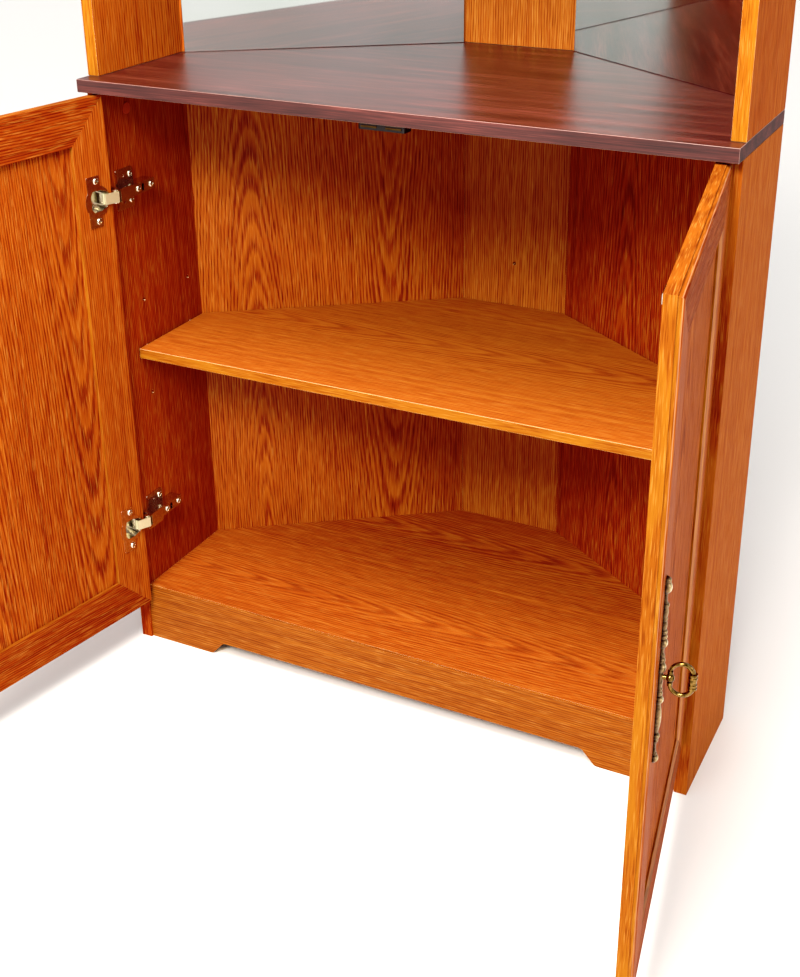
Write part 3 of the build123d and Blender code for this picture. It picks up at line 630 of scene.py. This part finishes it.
def dress_pressed_metal():
    cabinet_nickel = nickel_plate("nickel_plated_steel", (ALONG_X, ALONG_Y, UPRIGHT))
    strikes = ["door_strike_plate_left", "door_strike_plate_right"]
    fixed = [name for name in NODES if name.startswith(("hinge_arm", "hinge_plate"))]
    dress(fixed + strikes + ["shelf_supports"], cabinet_nickel)
    for side, way in DOOR_WAY.items():
        door_nickel = nickel_plate(f"nickel_plated_steel_{side}", (way, DOOR_OUTWARD[side], UPRIGHT))
        cups = [f"hinge_cup_upper_{side}", f"hinge_cup_lower_{side}"]
        straps = [f"hinge_link_upper_{side}", f"hinge_link_lower_{side}"]
        dress(cups, door_nickel)
        dress(straps, satin_strap(f"satin_nickel_strap_{side}"))
        soften(cups, PRESSED_EDGE)
        cross_head_screws(f"door_cup_screws_{side}", f"{side}_door", door_nickel, -DOOR_OUTWARD[side])
    for name in ("hinge_arm_screws", "hinge_plate_screws"):
        cross_head_screws(name, "cabinet", cabinet_nickel)
    soften([name for name in fixed if "screws" not in name], PRESSED_EDGE)


def dress_pulls():
    handled = antique_brass("antique_brass_handled", GOLDEN_TONES, 0.06)
    for side, outward in DOOR_OUTWARD.items():
        plate = NODES[f"door_pull_backplate_{side}"]
        face = min(vertex.co.dot(outward) for vertex in plate.data.vertices)
        bronzed = antique_brass(f"antique_brass_backplate_{side}", BRONZED_TONES, 0.16, outward, face)
        dress([plate.name], bronzed)
        dress([f"door_pull_post_{side}", f"door_pull_ring_{side}"], handled)


def dress_catch_and_covers():
    dress(["magnetic_catch"], moulded_plastic("black_polypropylene", "#11110c", "#211f18", 0.4))
    # The caps' brown is lifted so that they show lighter than the shaded wall around them: painted light
    dress(["cam_covers"], moulded_plastic("brown_polypropylene", "#96381c", "#b8552e", 0.36))
    dress(["catch_pole_plates"], oxidised_strip("bronzed_steel_strip"))


# Stage
FLOOR_HALF = 12.0


def plain_floor():
    low = cad_box[0][2]
    corners = [(x * FLOOR_HALF, y * FLOOR_HALF, low) for x, y in ((-1, -1), (1, -1), (1, 1), (-1, 1))]
    mesh = bpy.data.meshes.new("studio_floor")
    mesh.from_pydata(corners, [], [(0, 1, 2, 3)])
    floor = bpy.data.objects.new("studio_floor", mesh)
    bpy.context.scene.collection.objects.link(floor)
    made, tree = new_material("white_paper_sweep")
    finish_material(tree, Base_Color=linear("#e6e4e1"), Roughness=0.9)
    mesh.materials.append(made)


# Light. A soft box is (name, place, size, watts), in metres. A far lamp is (name, bearing, height, strength,
# width, colour): how many degrees it stands to the right of straight ahead and up, and how many it spans.
WARM_WHITE = "#fffaf2"
PLAIN_WHITE = "#ffffff"
LIT_MIDDLE = Vector((0, -0.2, 0.45))
SOFT_BOXES = (
    ("key_soft_box", (0.26, -2.07, 1.93), 0.6, 50),
    ("top_soft_box", (0.09, -1.07, 2.25), 1.0, 62),
)
FAR_LAMPS = (
    ("key_light", 8, 38, 1.2, 14, WARM_WHITE),
    ("right_fill", 46, 24, 0.2, 26, PLAIN_WHITE),
    ("left_fill", -24, 27, 0.6, 34, PLAIN_WHITE),
    ("side_fill", 88, 15, 1.1, 40, PLAIN_WHITE),
)

# The surrounding air, as (height from 0 at the horizon to 1 overhead, brightness)
AIR_GLOW = ((0.0, 0.95), (0.08, 0.95), (0.15, 0.50), (0.35, 0.60), (1.0, 1.00))

# The photo's contrast and its red shadows, as points on the picture's main curve and on its green curve
MAIN_CURVE, GREEN_CURVE = 3, 1
CONTRAST = ((0.03, 0.010), (0.08, 0.055), (0.20, 0.17), (0.50, 0.50))
LESS_GREEN_SHADOWS = ((0.012, 0.0085), (0.037, 0.032), (0.10, 0.10), (0.25, 0.25), (0.60, 0.60))


def hang(name, lamp, colour, towards):
    """Hangs a lamp so that it shines from where towards points."""
    lamp.color = linear(colour)[:3]
    hung = bpy.data.objects.new(name, lamp)
    hung.rotation_euler = towards.to_track_quat("Z", "Y").to_euler()
    bpy.context.scene.collection.objects.link(hung)
    return hung


def soft_box(name, place, size, power):
    lamp = bpy.data.lights.new(name, "AREA")
    lamp.size = size
    lamp.energy = power
    hung = hang(name, lamp, WARM_WHITE, Vector(place) - LIT_MIDDLE)
    hung.location = place


def far_lamp(name, bearing, height, strength, width, colour):
    lamp = bpy.data.lights.new(name, "SUN")
    lamp.energy = strength
    lamp.angle = math.radians(width)
    bearing, height = math.radians(bearing), math.radians(height)
    hang(name, lamp, colour, Vector((
        math.sin(bearing) * math.cos(height), -math.cos(bearing) * math.cos(height), math.sin(height))))


def studio_air():
    """A white ceiling that fades towards the horizon, so that it lights what lies flat more than what stands,
    and ends in a pale rim that meets the floor."""
    world = bpy.data.worlds.new("studio_air")
    world.use_nodes = True
    tree = world.node_tree
    tree.nodes.clear()
    height = add(tree, "SeparateXYZ", {0: add(tree, "TexCoord", {}, out="Generated")}, out="Z")
    glow = add(tree, "ValToRGB", {0: height}, stops=[(place, grey(light)) for place, light in AIR_GLOW])
    add(tree, "OutputWorld", {"Surface": add(tree, "Background", {"Color": glow, "Strength": 1.0})})
    bpy.context.scene.world = world


def studio_light():
    studio_air()
    for values in SOFT_BOXES:
        soft_box(*values)
    for values in FAR_LAMPS:
        far_lamp(*values)


def photo_tones():
    view = bpy.context.scene.view_settings
    view.view_transform = "Standard"
    view.use_curve_mapping = True
    for curve, points in ((MAIN_CURVE, CONTRAST), (GREEN_CURVE, LESS_GREEN_SHADOWS)):
        for point in points:
            view.curve_mapping.curves[curve].points.new(*point)
    view.curve_mapping.update()


# Camera, fitted to the photo
CAMERA_PLACE = Vector((0.6799, -1.6702, 1.0789))
CAMERA_YAW = math.radians(-26.501)
CAMERA_DOWN = math.radians(24.459)
CAMERA_ROLL = math.radians(-0.446)
CAMERA_LENS = 51.94
CAMERA_SHIFT = (-0.01537, -0.08443)


def photo_camera():
    ahead = Vector((
        math.sin(CAMERA_YAW) * math.cos(CAMERA_DOWN), math.cos(CAMERA_YAW) * math.cos(CAMERA_DOWN),
        -math.sin(CAMERA_DOWN)))
    level = Vector((math.cos(CAMERA_YAW), -math.sin(CAMERA_YAW), 0))
    above = level.cross(ahead)
    right = math.cos(CAMERA_ROLL) * level + math.sin(CAMERA_ROLL) * above
    up = right.cross(ahead)
    data = bpy.data.cameras.new("photo_camera")
    data.lens = CAMERA_LENS
    data.shift_x, data.shift_y = CAMERA_SHIFT
    camera = bpy.data.objects.new("photo_camera", data)
    turn = Matrix((right, up, -ahead)).transposed()
    camera.matrix_world = Matrix.Translation(CAMERA_PLACE) @ turn.to_4x4()
    bpy.context.scene.collection.objects.link(camera)
    bpy.context.scene.camera = camera


dress_boards()
dress_doors()
dress_pressed_metal()
dress_catch_and_covers()
dress_pulls()
soften([name for name in NODES if not name.startswith(FINE_FITTINGS)], BOARD_EDGE)
plain_floor()
studio_light()
photo_tones()
photo_camera()
